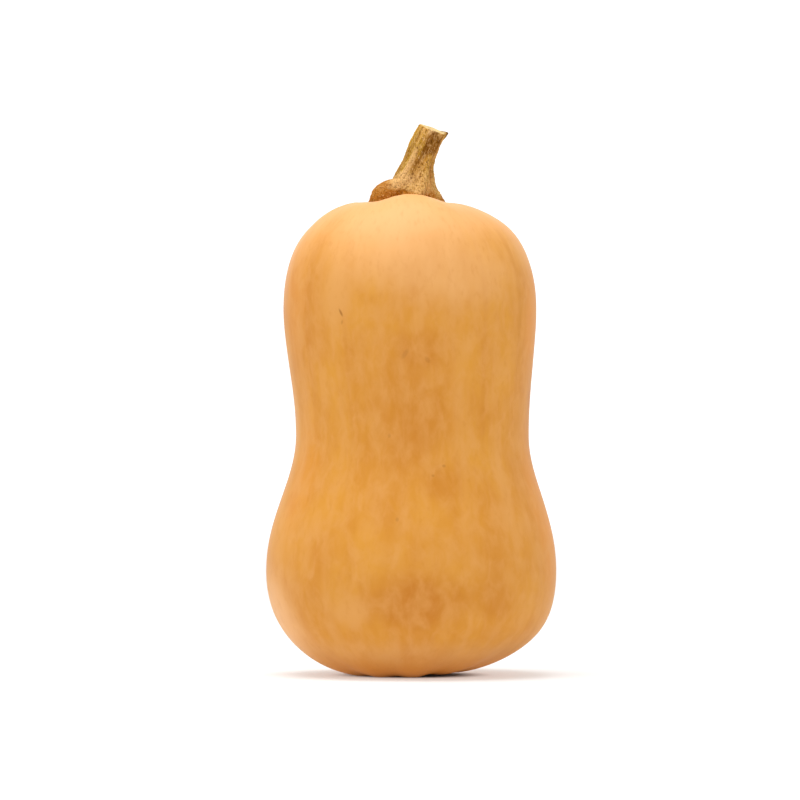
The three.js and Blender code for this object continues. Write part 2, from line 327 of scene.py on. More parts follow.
# The kinds of node that are used most, and settings that they share.
MATH = "ShaderNodeMath"
VECTOR = "ShaderNodeVectorMath"
SPLIT = "ShaderNodeSeparateXYZ"
JOIN = "ShaderNodeCombineXYZ"
RAMP = "ShaderNodeMapRange"
MIX = "ShaderNodeMix"
GROUP = "GeometryNodeGroup"
STORE = "GeometryNodeStoreNamedAttribute"
OBJECT = "GeometryNodeObjectInfo"
SAMPLE = "GeometryNodeSampleCurve"
HELD = "ShaderNodeAttribute"
MINUS = {"operation": "SUBTRACT"}
TIMES = {"operation": "MULTIPLY"}
TIMES_PLUS = {"operation": "MULTIPLY_ADD"}
OVER = {"operation": "DIVIDE"}
SMOOTH = {"interpolation_type": "SMOOTHSTEP"}
COLOUR_MIX = {"data_type": "RGBA", "out": 2}
# The places of a colour Mix node's factor and its two colours among its inputs.
FACTOR, FIRST, SECOND = 0, 6, 7
# All of a node's outputs, also where it has none.
ALL = slice(None)


def linear(hex_colour):
    """An sRGB hex colour as linear red, green, blue and an alpha of 1."""
    parts = [int(hex_colour[i : i + 2], 16) / 255 for i in (1, 3, 5)]
    return (*[c / 12.92 if c <= 0.04045 else ((c + 0.055) / 1.055) ** 2.4 for c in parts], 1)


def length_setting(name, description, size):
    """A setting that holds a length, given in millimetres."""
    return FloatProperty(
        name=name, description=description, default=size * MM, unit="LENGTH", subtype="DISTANCE"
    )


def colour_setting(name, description, hex_colour):
    """A setting that holds a colour."""
    return FloatVectorProperty(
        name=name, description=description, default=linear(hex_colour), size=4, subtype="COLOR"
    )


def add(tree, kind, inputs=(), out=0, **settings):
    """Adds a node with its settings, links or sets its inputs, and gives what it puts out."""
    node = tree.nodes.new(kind)
    for name, value in settings.items():
        setattr(node, name, value)
    for key, value in inputs.items() if isinstance(inputs, dict) else enumerate(inputs):
        if isinstance(value, bpy.types.NodeSocket):
            tree.links.new(value, node.inputs[key])
        else:
            node.inputs[key].default_value = value
    return node.outputs[out]


def new_group(name, inputs, output):
    """A node group with named inputs of each type and one output, and what its inputs give."""
    tree = bpy.data.node_groups.new(name, "GeometryNodeTree")
    for kind, sockets in inputs.items():
        for socket in sockets:
            tree.interface.new_socket(socket, in_out="INPUT", socket_type="NodeSocket" + kind)
    tree.interface.new_socket(output[0], in_out="OUTPUT", socket_type="NodeSocket" + output[1])
    return tree, tree.nodes.new("NodeGroupInput").outputs


# Shapes that both pieces use


def hump_group():
    """A hump of height 1 at an azimuth, down to 0 at its half-width on either side."""
    sizes = {"Float": ("Azimuth", "Centre", "Half Width")}
    tree, given = new_group("Hump", sizes, ("Height", "Float"))
    turn = add(tree, MATH, (given["Azimuth"], given["Centre"]), **MINUS)
    nearer = add(tree, MATH, (turn, math.pi, -math.pi), operation="WRAP")
    apart = add(tree, MATH, (nearer,), operation="ABSOLUTE")
    share = add(tree, MATH, (apart, given["Half Width"]), use_clamp=True, **OVER)
    angle = add(tree, MATH, (share, math.pi / 2), **TIMES)
    cosine = add(tree, MATH, (angle,), operation="COSINE")
    height = add(tree, MATH, (cosine, cosine), **TIMES)
    add(tree, "NodeGroupOutput", (height,), out=ALL)
    return tree


def furrow_group():
    """1 in the furrows between so many lobes, and 0 on the crest of each."""
    sizes = {"Float": ("Azimuth", "First", "Lobes", "Narrowness")}
    tree, given = new_group("Furrow", sizes, ("Depth", "Float"))
    turn = add(tree, MATH, (given["Azimuth"], given["First"]), **MINUS)
    waves = add(tree, MATH, (turn, given["Lobes"]), **TIMES)
    half = add(tree, MATH, (waves, 0.5), **TIMES)
    sine = add(tree, MATH, (half,), operation="SINE")
    size = add(tree, MATH, (sine,), operation="ABSOLUTE")
    depth = add(tree, MATH, (size, given["Narrowness"]), operation="POWER")
    add(tree, "NodeGroupOutput", (depth,), out=ALL)
    return tree


def sleeve(tree, facets, rings):
    """A flat grid to roll up, with each point's azimuth and its share of the outline."""
    columns = add(tree, MATH, (facets, 1.0))
    rows = add(tree, MATH, (rings, 1.0))
    grid = add(tree, "GeometryNodeMeshGrid", (1.0, 1.0, columns, rows))
    corner = add(tree, VECTOR, (add(tree, "GeometryNodeInputPosition"), (0.5, 0.5, 0)))
    across, along, _ = add(tree, SPLIT, (corner,), out=ALL)
    azimuth = add(tree, MATH, (across, math.tau), **TIMES)
    return grid, azimuth, along


def outward(tree, azimuth):
    """The level direction that an azimuth points in."""
    sine = add(tree, MATH, (azimuth,), operation="SINE")
    cosine = add(tree, MATH, (azimuth,), operation="COSINE")
    back = add(tree, MATH, (cosine, -1.0), **TIMES)
    return add(tree, JOIN, (sine, back, 0.0))


def beside(tree, level, radius, height):
    """The place at a radius from the axis in a level direction, and at a height."""
    lift = add(tree, JOIN, (0.0, 0.0, height))
    return add(tree, VECTOR, (level, radius, lift), **TIMES_PLUS)


def closed_surface(tree, grid, place, material):
    """The rolled-up grid with its seam and poles closed, as a plain mesh with its material."""
    rolled = add(tree, "GeometryNodeSetPosition", {"Geometry": grid, "Position": place})
    small = add(tree, "GeometryNodeMergeByDistance", {"Geometry": rolled, "Distance": SEAM_GAP * MM})
    smooth = add(tree, "GeometryNodeSetShadeSmooth", {"Geometry": small})
    plain = add(tree, "GeometryNodeRealizeInstances", (smooth,))
    dressed = add(tree, "GeometryNodeSetMaterial", {"Geometry": plain, "Material": material})
    add(tree, "NodeGroupOutput", (dressed,), out=ALL)


def bezier_object(name, points):
    """A curve through (place, handle before, handle after) points given in millimetres."""
    curve = bpy.data.curves.new(name, "CURVE")
    curve.dimensions = "3D"
    curve.resolution_u = CURVE_STEPS
    spline = curve.splines.new("BEZIER")
    spline.bezier_points.add(len(points) - 1)
    for knot, (place, before, after) in zip(spline.bezier_points, points):
        knot.handle_left_type = knot.handle_right_type = "FREE"
        knot.co = Vector(place) * MM
        knot.handle_left = Vector(before or place) * MM
        knot.handle_right = Vector(after or place) * MM
    made = bpy.data.objects.new(name, curve)
    bpy.context.scene.collection.objects.link(made)
    return made


def grow(name, tree, sizes, given, guides):
    """Runs a Geometry Nodes tree with its settings and keeps its result as a plain mesh.

    An input that isn't given takes the setting of its own name.
    """
    host = bpy.data.objects.new(name, bpy.data.meshes.new(name))
    bpy.context.scene.collection.objects.link(host)
    modifier = host.modifiers.new(tree.name, "NODES")
    modifier.node_group = tree
    for item in tree.interface.items_tree:
        if item.in_out == "INPUT":
            setting = item.name.lower().replace(" ", "_")
            value = given[item.name] if item.name in given else getattr(sizes, setting)
            modifier[item.identifier] = value
    bpy.context.view_layer.update()
    depsgraph = bpy.context.evaluated_depsgraph_get()
    mesh = bpy.data.meshes.new_from_object(
        host.evaluated_get(depsgraph), preserve_all_data_layers=True, depsgraph=depsgraph
    )
    host.modifiers.remove(modifier)
    if not mesh.polygons:
        raise RuntimeError(f"{tree.name} made no surface")
    host.data = mesh
    mesh.name = name
    for guide in guides:
        bpy.data.objects.remove(guide)
    return host


# Patterns and colours that both pieces use


def stretched_noise(tree, place, width, length, seed, detail=2.0, roughness=0.5, swirl=0.0):
    """Noise whose spots are so wide, and drawn out to a length along the place's Z."""
    drawn = add(tree, VECTOR, (place, (1, 1, width / length)), **TIMES)
    inputs = {"Vector": drawn, "W": seed, "Scale": 1 / (width * MM), "Distortion": swirl}
    inputs.update({"Detail": detail, "Roughness": roughness})
    return add(tree, "ShaderNodeTexNoise", inputs, noise_dimensions="4D")


def new_material(name):
    """An empty material's node tree, with its Principled surface and output."""
    material = bpy.data.materials.new(name)
    material.use_nodes = True
    tree = material.node_tree
    tree.nodes.clear()
    shader = add(tree, "ShaderNodeBsdfPrincipled").node
    add(tree, "ShaderNodeOutputMaterial", (shader.outputs["BSDF"],), out=ALL)
    return material, tree, shader


def around(radius, azimuth, height):
    """A place at a radius, an azimuth and a height, in metres."""
    turn = math.radians(azimuth)
    return (radius * math.sin(turn) * MM, -radius * math.cos(turn) * MM, height * MM)


def patch_masks(tree, place, radius_at, patches):
    """Each patch's mask, 1 in its middle and 0 at its edge, with the patch's strength."""
    for azimuth, height, size, tilt, strength in patches:
        inputs = {
            "Vector": place,
            "Location": around(radius_at(height), azimuth, height),
            "Rotation": (0, math.radians(tilt), math.radians(azimuth)),
            "Scale": [s * MM for s in size],
        }
        local = add(tree, "ShaderNodeMapping", inputs, vector_type="TEXTURE")
        apart = add(tree, VECTOR, (local,), operation="LENGTH", out="Value")
        yield add(tree, RAMP, (apart, PATCH_CORE, 1.0, 1.0, 0.0), **SMOOTH), strength


def layered(tree, colour, layers):
    """A colour under layers, each of which shows where its mask rises from low to high."""
    for over, mask, low, high, strength in layers:
        shown = add(tree, RAMP, (mask, low, high, 0.0, strength), **SMOOTH)
        colour = add(tree, MIX, {FACTOR: shown, FIRST: colour, SECOND: over[:]}, **COLOUR_MIX)
    return colour


def from_axis(tree, body):
    """How far a place is from the upright axis."""
    x, y, _ = add(tree, SPLIT, (body,), out=ALL)
    level = add(tree, JOIN, (x, y, 0.0))
    return add(tree, VECTOR, (level,), operation="LENGTH", out="Value")


def set_surface(tree, shader, colour, gloss, noise, bump, height):
    """Gives a plant's surface its colour, its gloss, rougher where a noise is high, and a bump."""
    tree.links.new(colour, shader.inputs["Base Color"])
    rough = add(tree, RAMP, (noise, *GLOSS_NOISE, gloss["low"], gloss["high"]))
    tree.links.new(rough, shader.inputs["Roughness"])
    shader.inputs["IOR"].default_value = PLANT_IOR
    shader.inputs["Specular IOR Level"].default_value = gloss["specular"]
    raised = {"Strength": bump["strength"], "Distance": bump["depth"] * MM, "Height": height}
    tree.links.new(add(tree, "ShaderNodeBump", raised), shader.inputs["Normal"])


# Rind


def rind_outline(sizes):
    """The half-outline from the blossom scar to the stem's seat, with the handles it turns by."""
    dimple, scar = DIMPLE["depth"], SCAR["radius"]
    bulb, waist, neck = (s / MM for s in (sizes.bulb_radius, sizes.waist_radius, sizes.neck_radius))
    rim, seat = CROWN_RIM, STEM_SEAT

    def at(radius, height):
        return (radius, 0, height)

    return (
        (at(0, dimple - SCAR["proud"]), None, None),
        (at(scar - SCAR["edge"], dimple - SCAR["proud"]), None, None),
        (at(scar, dimple), None, at(scar + DIMPLE["reach"], dimple)),
        (at(BASE_RING["inner"], 0), at(BASE_RING["inner"] - DIMPLE["reach"], 0), None),
        (at(BASE_RING["outer"], 0), None, at(BASE_RING["outer"] + BASE_RING["reach"], 0)),
        *(
            (
                at(radius, turn["height"]),
                at(radius, turn["height"] - turn["drop"]),
                at(radius, turn["height"] + turn["lift"]),
            )
            for radius, turn in ((bulb, BULB), (waist, WAIST), (neck, NECK))
        ),
        (
            at(rim["radius"], rim["height"]),
            at(rim["radius"] + rim["reach"], rim["height"]),
            at(rim["radius"] - rim["reach"], rim["height"]),
        ),
        (at(0, seat["height"]), at(seat["reach"], seat["height"]), None),
    )


def bent_axis(tree, height):
    """Where the bent axis passes at a height."""
    place = add(tree, VECTOR, ((AXIS[0][1] * MM, AXIS[0][2] * MM, 0), (0, 0, 0)))
    for (low, x, y), (high, next_x, next_y) in zip(AXIS, AXIS[1:]):
        part = add(tree, RAMP, (height, low * MM, high * MM), **SMOOTH)
        step = ((next_x - x) * MM, (next_y - y) * MM, 0)
        place = add(tree, VECTOR, (step, part, place), **TIMES_PLUS)
    return place


def lobes_rise(tree, hump, azimuth, first, rises):
    """How far the lobes of one end lift the skin, each by its own rise."""
    spacing = math.tau / len(rises)
    total = 0.0
    for i, rise in enumerate(rises):
        if rise:
            centre = math.radians(first) + i * spacing
            shape = add(tree, GROUP, (azimuth, centre, spacing), node_tree=hump)
            total = add(tree, MATH, (shape, rise * MM, total), **TIMES_PLUS)
    return total


def skin_shape(tree, given, radius, height, azimuth):
    """The rise of the lobes at both ends, and the depth of the furrows between them."""
    hump, furrow = hump_group(), furrow_group()
    rise = depth = 0.0
    for end in (CROWN, BASE):
        middle, side = (edge * MM for edge in end["radii"])
        outer = add(tree, RAMP, (radius, middle, side), **SMOOTH)
        risen, furrowed = (
            add(tree, RAMP, (height, low * MM, high * MM, *end["strengths"]), **SMOOTH)
            for low, high in (end["rise_heights"], end["furrow_heights"])
        )
        first, rises = end["first_lobe"], end["rises"]
        lobes = lobes_rise(tree, hump, azimuth, first, rises)
        near = add(tree, MATH, (risen, outer), **TIMES)
        rise = add(tree, MATH, (lobes, near, rise), **TIMES_PLUS)
        pattern = (azimuth, math.radians(first), float(len(rises)), end["narrowness"])
        shape = add(tree, GROUP, pattern, node_tree=furrow)
        deep = add(tree, MATH, (shape, given[end["furrow"]]), **TIMES)
        near = add(tree, MATH, (furrowed, outer), **TIMES)
        depth = add(tree, MATH, (deep, near, depth), **TIMES_PLUS)
    return rise, depth


def skin_relief(tree, given, place, meridian, radius):
    """How far the dents and the ribs raise or sink the skin."""
    dents = stretched_noise(tree, place, seed=given["Seed"], **DENTS)
    dent = add(tree, RAMP, (dents, 0.0, 1.0, -1.0, 1.0))
    ribs = stretched_noise(tree, meridian, seed=given["Seed"], **RIBS)
    side = add(tree, RAMP, (radius, RIB["from"] * MM, RIB["full"] * MM), **SMOOTH)
    high = add(tree, MATH, (side, RIB["height"] * MM), **TIMES)
    low = add(tree, MATH, (high, -1.0), **TIMES)
    rib = add(tree, RAMP, (ribs, 0.0, 1.0, low, high))
    return add(tree, MATH, (dent, given["Dent Depth"], rib), **TIMES_PLUS)


def out_of_round(tree, azimuth):
    """How far out the skin is at an azimuth, as a share of its radius."""
    share = 1.0
    for waves, size, first in OUT_OF_ROUND:
        start = -math.radians(waves * first)
        turn = add(tree, MATH, (azimuth, float(waves), start), **TIMES_PLUS)
        cosine = add(tree, MATH, (turn,), operation="COSINE")
        share = add(tree, MATH, (cosine, size, share), **TIMES_PLUS)
    return share


def rind_tree():
    """Turns the half-outline round the bent axis, with lobes, furrows, dents and low ribs."""
    sizes = {
        "Object": ("Outline",),
        "Int": ("Facets", "Rings"),
        "Float": ("Crown Furrow Depth", "Base Furrow Depth", "Dent Depth", "Seed"),
        "Material": ("Material",),
    }
    tree, given = new_group("Turned Rind", sizes, ("Rind", "Geometry"))
    grid, azimuth, along = sleeve(tree, given["Facets"], given["Rings"])
    wave = add(tree, MATH, (along, math.tau), **TIMES)
    crowd = add(tree, MATH, (wave,), operation="SINE")
    share = add(tree, MATH, (crowd, -RING_CROWDING / math.tau, along), **TIMES_PLUS)

    outline = add(tree, OBJECT, {"Object": given["Outline"]}, out="Geometry")
    sample = add(tree, SAMPLE, {"Curves": outline, "Factor": share}).node.outputs
    radius, _, height = add(tree, SPLIT, (sample["Position"],), out=ALL)
    flow_out, _, flow_up = add(tree, SPLIT, (sample["Tangent"],), out=ALL)
    level = outward(tree, azimuth)
    down = add(tree, MATH, (flow_out, -1.0), **TIMES)
    normal = beside(tree, level, flow_up, down)
    length = add(tree, "GeometryNodeCurveLength", (outline,))
    run = add(tree, MATH, (share, length), **TIMES)
    meridian = beside(tree, level, (MERIDIAN_RADIUS * MM,) * 3, run)
    round_place = beside(tree, level, radius, height)
    held = {"Geometry": grid, "Name": "meridian", "Value": meridian}
    marked = add(tree, STORE, held, data_type="FLOAT_VECTOR")

    rise, depth = skin_shape(tree, given, radius, height, azimuth)
    relief = skin_relief(tree, given, round_place, meridian, radius)
    out = add(tree, MATH, (relief, depth), **MINUS)
    wide = add(tree, MATH, (radius, out_of_round(tree, azimuth)), **TIMES)
    lift = add(tree, MATH, (height, rise))
    stands = add(tree, MATH, (lift, RESTING_FLAT * MM), **MINUS)
    bent = add(tree, VECTOR, (beside(tree, level, wide, stands), bent_axis(tree, height)))
    shaped = add(tree, VECTOR, (normal, out, bent), **TIMES_PLUS)
    rests = add(tree, VECTOR, (shaped, (-1.0, -1.0, 0.0)), operation="MAXIMUM")
    closed_surface(tree, marked, rests, given["Material"])
    return tree


def skin_radius(height):
    """About how wide the rind is at a height, from the places where its outline turns."""
    turns = (
        (0, BASE_RING["outer"]),
        (BULB["height"], BULB["radius"]),
        (WAIST["height"], WAIST["radius"]),
        (NECK["height"], NECK["radius"]),
        (CROWN_RIM["height"], CROWN_RIM["radius"]),
    )
    for (low, wide), (high, next_wide) in zip(turns, turns[1:]):
        if height <= high:
            share = (1 - math.cos(math.pi * (height - low) / (high - low))) / 2
            return wide + (next_wide - wide) * share
    return CROWN_RIM["radius"]


def broken_patches(tree, over, body, patches, breakup):
    """The layers of a colour in broad patches of the rind, broken up by a noise."""
    uneven = add(tree, RAMP, (breakup, *PATCH_BREAKUP))
    for patch, strength in patch_masks(tree, body, skin_radius, patches):
        broken = add(tree, MATH, (uneven, patch), **TIMES)
        yield over, broken, 0.0, 0.8, strength


def scar_mask(tree, body, height, flecks):
    """1 on the blossom scar, with a ragged edge, and 0 round it."""
    ragged, below = SCAR_COLOUR["ragged"], SCAR_COLOUR["below"]
    radius = add(tree, MATH, (flecks, ragged * MM, from_axis(tree, body)), **TIMES_PLUS)
    edge = (SCAR["radius"] + ragged * SCAR_COLOUR["past"]) * MM
    full = edge - ragged * SCAR_COLOUR["deepens"] * MM
    near = add(tree, RAMP, (radius, edge, full), **SMOOTH)
    under = add(tree, RAMP, (height, below * MM, below / 2 * MM), **SMOOTH)
    return add(tree, MATH, (near, under), **TIMES)


def waxed_rind(sizes):
    """Butternut rind, grown: smooth and hard under a thin wax, so its gloss is satin.

    Pale wax bloom lies in clouds over an ochre skin, and thins out in streaks that run
    from end to end. The noises are taller than wide, as the skin grew that way.
    """
    material, tree, shader = new_material("waxed rind")
    skin = add(tree, HELD, out="Vector", attribute_name="meridian")
    body = add(tree, "ShaderNodeTexCoord", out="Object")
    height = add(tree, SPLIT, (body,), out="Z")
    clouds = stretched_noise(tree, body, **CLOUDS)
    mottles, streaks, flecks, bands = (
        stretched_noise(tree, skin, **noise) for noise in (MOTTLES, STREAKS, FLECKS, BANDS)
    )
    marks = patch_masks(tree, body, skin_radius, MARKS)
    scar = scar_mask(tree, body, height, flecks)
    cracks = add(tree, MATH, (scar, stretched_noise(tree, body, **CRACKS)), **TIMES)

    # Each layer's colour and mask, where the mask starts and ends to show it, and how much.
    layers = (
        (sizes.amber, clouds, 0.35, 0.65, 1.0),
        (sizes.deep, mottles, 0.4, 0.8, 0.35),
        (sizes.deep, bands, 0.5, 0.25, 0.35),
        (sizes.bloom, bands, 0.5, 0.8, 0.5),
        # Deeper patches: deeper skin, and painted shade along the sides.
        *broken_patches(tree, sizes.deep, body, DEEP_AND_SIDE_SHADE_PATCHES, mottles),
        # Russet patches: russet skin, and painted shade along the sides.
        *broken_patches(tree, sizes.russet, body, RUSSET_AND_SIDE_SHADE_PATCHES, mottles),
        # Bloomed patches: wax bloom, and a painted pale reflection along the left side.
        *broken_patches(tree, sizes.bloom, body, BLOOM_AND_REFLECTION_PATCHES, mottles),
        (sizes.bloom, streaks, 0.3, 0.75, 0.65),
        (sizes.russet, height, 13 * MM, 0.0, 0.9),
        # Cream patches: paler skin under a painted highlight round the crown, and painted reflection
        # and light low on the rind.
        *broken_patches(tree, sizes.cream_and_highlight, body, CREAM_AND_HIGHLIGHT_PATCHES, clouds),
        (sizes.deep, flecks, 0.5, 0.8, 0.2),
        *((sizes.mark, mark, 0.0, 1.0, strength) for mark, strength in marks),
        (sizes.scar, scar, 0.0, 1.0, 0.9),
        (sizes.mark, cracks, 0.45, 0.65, 0.7),
    )
    colour = layered(tree, sizes.ochre[:], layers)
    grain = (flecks, RIND_BUMP["flecks"], stretched_noise(tree, body, **PORES))
    raised = add(tree, MATH, grain, **TIMES_PLUS)
    set_surface(tree, shader, colour, RIND_GLOSS, streaks, RIND_BUMP, raised)
    return material


class RindSettings(bpy.types.PropertyGroup):
    """The sizes and colours of the rind."""

    bulb_radius: length_setting("Bulb Radius", "Radius of the bulb at its widest", BULB["radius"])
    waist_radius: length_setting(
        "Waist Radius", "Radius at the narrowest place between bulb and neck", WAIST["radius"]
    )
    neck_radius: length_setting(
        "Neck Radius", "Radius of the neck at its widest, under the shoulder", NECK["radius"]
    )
    crown_furrow_depth: length_setting(
        "Crown Furrow Depth", "Depth of the furrows between the lobes round the stem", 1
    )
    base_furrow_depth: length_setting(
        "Base Furrow Depth", "Depth of the furrows between the lobes round the blossom scar", 0.8
    )
    dent_depth: length_setting(
        "Dent Depth", "How far the gentle dents of the skin go in and out", 0.35
    )
    ochre: colour_setting("Ochre", "Colour of the bare skin", "#cb8733")
    amber: colour_setting("Amber", "Colour of the yellower clouds in the skin", "#d39238")
    deep: colour_setting("Deep Ochre", "Colour of the darker mottling", "#bf7625")
    bloom: colour_setting("Bloom", "Colour of the skin under streaks of wax bloom", "#d79a54")
    # Cream is paler skin, and also the colour of the painted highlight round the crown and of
    # painted reflection and light low on the rind.
    cream_and_highlight: colour_setting(
        "Cream", "Colour of the paler skin, most of all round the stem", "#e7af75"
    )
    russet: colour_setting("Russet", "Colour of the orange patches, and under the base", "#d88923")
    scar: colour_setting("Scar", "Colour of the corky scar that the blossom left", "#8a6236")
    mark: colour_setting("Mark", "Colour of healed scratches and of the scar's cracks", "#894b17")
    facets: IntProperty(name="Facets", description="Faces round the rind", default=280)
    rings: IntProperty(name="Rings", description="Faces along the outline", default=340)
    seed: IntProperty(name="Seed", description="Chooses where the dents and ribs lie", default=3)


class SQUASH_OT_rind(bpy.types.Operator):
    """Grow the rind, from the blossom scar to the seat of the stem"""

    bl_idname = "squash.rind"
    bl_label = "Grow Rind"

    def execute(self, context):
        sizes = context.scene.squash_rind
        outline = bezier_object("rind outline", rind_outline(sizes))
        given = {"Outline": outline, "Seed": float(sizes.seed), "Material": waxed_rind(sizes)}
        rind = grow("squash_rind", rind_tree(), sizes, given, [outline])
        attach(rind, "root")
        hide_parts("fruit")
        return {"FINISHED"}


# Stem


def stem_outline():
    """The half-outline of a straight stem of the stem's length and a radius of 1."""
    radius, top = OUTLINE_RADIUS, STEM_LENGTH
    bevel, sink = CUT["bevel"] * top, CUT["sink"] * top
    corners = (
        (0, 0),
        (radius, 0),
        (radius, top - bevel),
        (radius * CUT["edge"], top),
        (radius * CUT["pith"], top),
        (radius * CUT["pith"] / 2, top - sink),
        (0, top - sink),
    )
    return [((x, 0, z), None, None) for x, z in corners]


def ring_frame(tree, climb):
    """The directions to the right and to the back in a ring that turns from level to the cut."""
    turn = add(tree, RAMP, (climb, RING_TURN["from"] * MM, RING_TURN["to"] * MM), **SMOOTH)
    lean = tuple(c - u for c, u in zip(CUT_FACING, (0, 0, 1)))
    facing = add(tree, VECTOR, (lean, turn, (0, 0, 1)), **TIMES_PLUS)
    square = add(tree, VECTOR, (facing, (1, 0, 0)), operation="CROSS_PRODUCT")
    back = add(tree, VECTOR, (square,), operation="NORMALIZE")
    side = add(tree, VECTOR, (back, facing), operation="CROSS_PRODUCT")
    right = add(tree, VECTOR, (side,), operation="NORMALIZE")
    return facing, right, back


def ridged_radius(tree, given, azimuth, climb, hump):
    """The stem's radius with its ridges, skirt and toes, and what the bark follows."""
    above = add(tree, MATH, (climb, 0.0), operation="MAXIMUM")
    faded = add(tree, MATH, (above, -TWIST_SETTLE * MM), **OVER)
    settled = add(tree, MATH, (faded,), operation="EXPONENT")
    rest = add(tree, MATH, (1.0, settled), **MINUS)
    turned = add(tree, MATH, (rest, given["Twist"]), **TIMES)
    first = add(tree, MATH, (turned, math.radians(FIRST_RIDGE)))
    pattern = (azimuth, first, float(RIDGES), RIDGE_BLUNTNESS)
    groove = add(tree, GROUP, pattern, node_tree=furrow_group())
    crest = add(tree, MATH, (1.0, groove), **MINUS)
    ridged = add(tree, RAMP, (crest, 0.0, 1.0, given["Groove Radius"], given["Ridge Radius"]))
    thin = (climb, TAPER["from"] * MM, TAPER["to"] * MM, 1.0, 1.0 - TAPER["share"])
    taper = add(tree, RAMP, thin, **SMOOTH)
    flare = (climb, SKIRT["full"] * MM, SKIRT["to"] * MM, SKIRT["size"] * MM, 0.0)
    skirt = add(tree, RAMP, flare, **SMOOTH)
    shaft = add(tree, MATH, (ridged, taper, skirt), **TIMES_PLUS)
    total = shaft
    for toe_azimuth, radius, height, swell, fall in TOES:
        share = add(tree, MATH, (above, height * MM), use_clamp=True, **OVER)
        curve = add(tree, MATH, (share, float(swell)), operation="POWER")
        left = add(tree, MATH, (1.0, curve), **MINUS)
        shape = add(tree, MATH, (left, float(fall)), operation="POWER")
        spread = (azimuth, math.radians(toe_azimuth), math.radians(TOE_HALF_WIDTH))
        toe = add(tree, GROUP, spread, node_tree=hump)
        toe_share = add(tree, MATH, (shape, toe), **TIMES)
        reach = add(tree, MATH, (radius * MM, shaft), **MINUS)
        total = add(tree, MATH, (reach, toe_share, total), **TIMES_PLUS)
    return total, turned, crest


def torn_spur(tree, azimuth, climb, hump):
    """1 at the tip of the spur that the knife left, and 0 away from it."""
    top = STEM_LINE[-1][2] - FOOT_HEIGHT
    spread = (azimuth, math.radians(SPUR["azimuth"]), math.radians(SPUR["half_width"]))
    wide = add(tree, GROUP, spread, node_tree=hump)
    high = add(tree, RAMP, (climb, (top - SPUR["length"]) * MM, top * MM), **SMOOTH)
    return add(tree, MATH, (wide, high), **TIMES)


def bark_relief(tree, given, bark, place, climb):
    """How far the bark stands out, and its fibres, its crust and the foot's warts from 0 to 1."""
    seed = given["Seed"]
    twisted = stretched_noise(tree, bark, seed=seed, **FIBRES)
    upright = stretched_noise(tree, place, seed=seed, **FIBRES)
    high = add(tree, RAMP, (climb, TOE_FIBRES["to"] * MM, TOE_FIBRES["from"] * MM), **SMOOTH)
    both = {"Factor": high, "A": upright, "B": twisted}
    fibres = add(tree, MIX, both, data_type="FLOAT")
    crust = stretched_noise(tree, place, seed=seed, **CRUST)
    lumps = stretched_noise(tree, bark, seed=seed, **LUMPS)
    relief = 0.0
    for noise, depth in ((fibres, "Fibre Depth"), (crust, "Crust Depth"), (lumps, "Lump Depth")):
        uneven = add(tree, MATH, (noise, 0.5), **MINUS)
        relief = add(tree, MATH, (uneven, given[depth], relief), **TIMES_PLUS)
    scale = {"Vector": place, "W": seed, "Scale": 1 / (WART["width"] * MM)}
    cells = add(tree, "ShaderNodeTexVoronoi", scale, voronoi_dimensions="4D")
    domes = add(tree, RAMP, (cells, WART["top"], WART["edge"], 1.0, 0.0), **SMOOTH)
    low = add(tree, RAMP, (climb, WART["full"] * MM, WART["to"] * MM, 1.0, 0.0), **SMOOTH)
    warts = add(tree, MATH, (domes, low), **TIMES)
    relief = add(tree, MATH, (warts, given["Wart Height"], relief), **TIMES_PLUS)
    return relief, {"fibre": fibres, "crust": crust, "wart": warts}


def in_ring(tree, centre, right, back, azimuth, radius):
    """The place in a ring at an azimuth and a radius from its centre."""
    sine = add(tree, MATH, (azimuth,), operation="SINE")
    cosine = add(tree, MATH, (azimuth,), operation="COSINE")
    rightward = add(tree, MATH, (radius, sine), **TIMES)
    forward = add(tree, MATH, (radius, cosine), **TIMES)
    backward = add(tree, MATH, (forward, -1.0), **TIMES)
    place = add(tree, VECTOR, (right, rightward, centre), **TIMES_PLUS)
    return add(tree, VECTOR, (back, backward, place), **TIMES_PLUS)


def seated(tree, given, place):
    """A place of the stem, raised where it would go deeper than the foot's press in the rind."""
    target = add(tree, OBJECT, {"Object": given["Rind"]}, out="Geometry")
    x, y, z = add(tree, SPLIT, (place,), out=ALL)
    above = add(tree, JOIN, (x, y, ABOVE_ALL))
    ray = {
        "Target Geometry": target,
        "Source Position": above,
        "Ray Direction": (0, 0, -1),
        "Ray Length": ABOVE_ALL,
    }
    hit = add(tree, "GeometryNodeRaycast", ray, out="Hit Position")
    seat = add(tree, VECTOR, (hit, (0, 0, SEAT_PRESS * MM)), **MINUS)
    seat_z = add(tree, SPLIT, (seat,), out="Z")
    height = add(tree, MATH, (z, seat_z), operation="MAXIMUM")
    return add(tree, JOIN, (x, y, height))


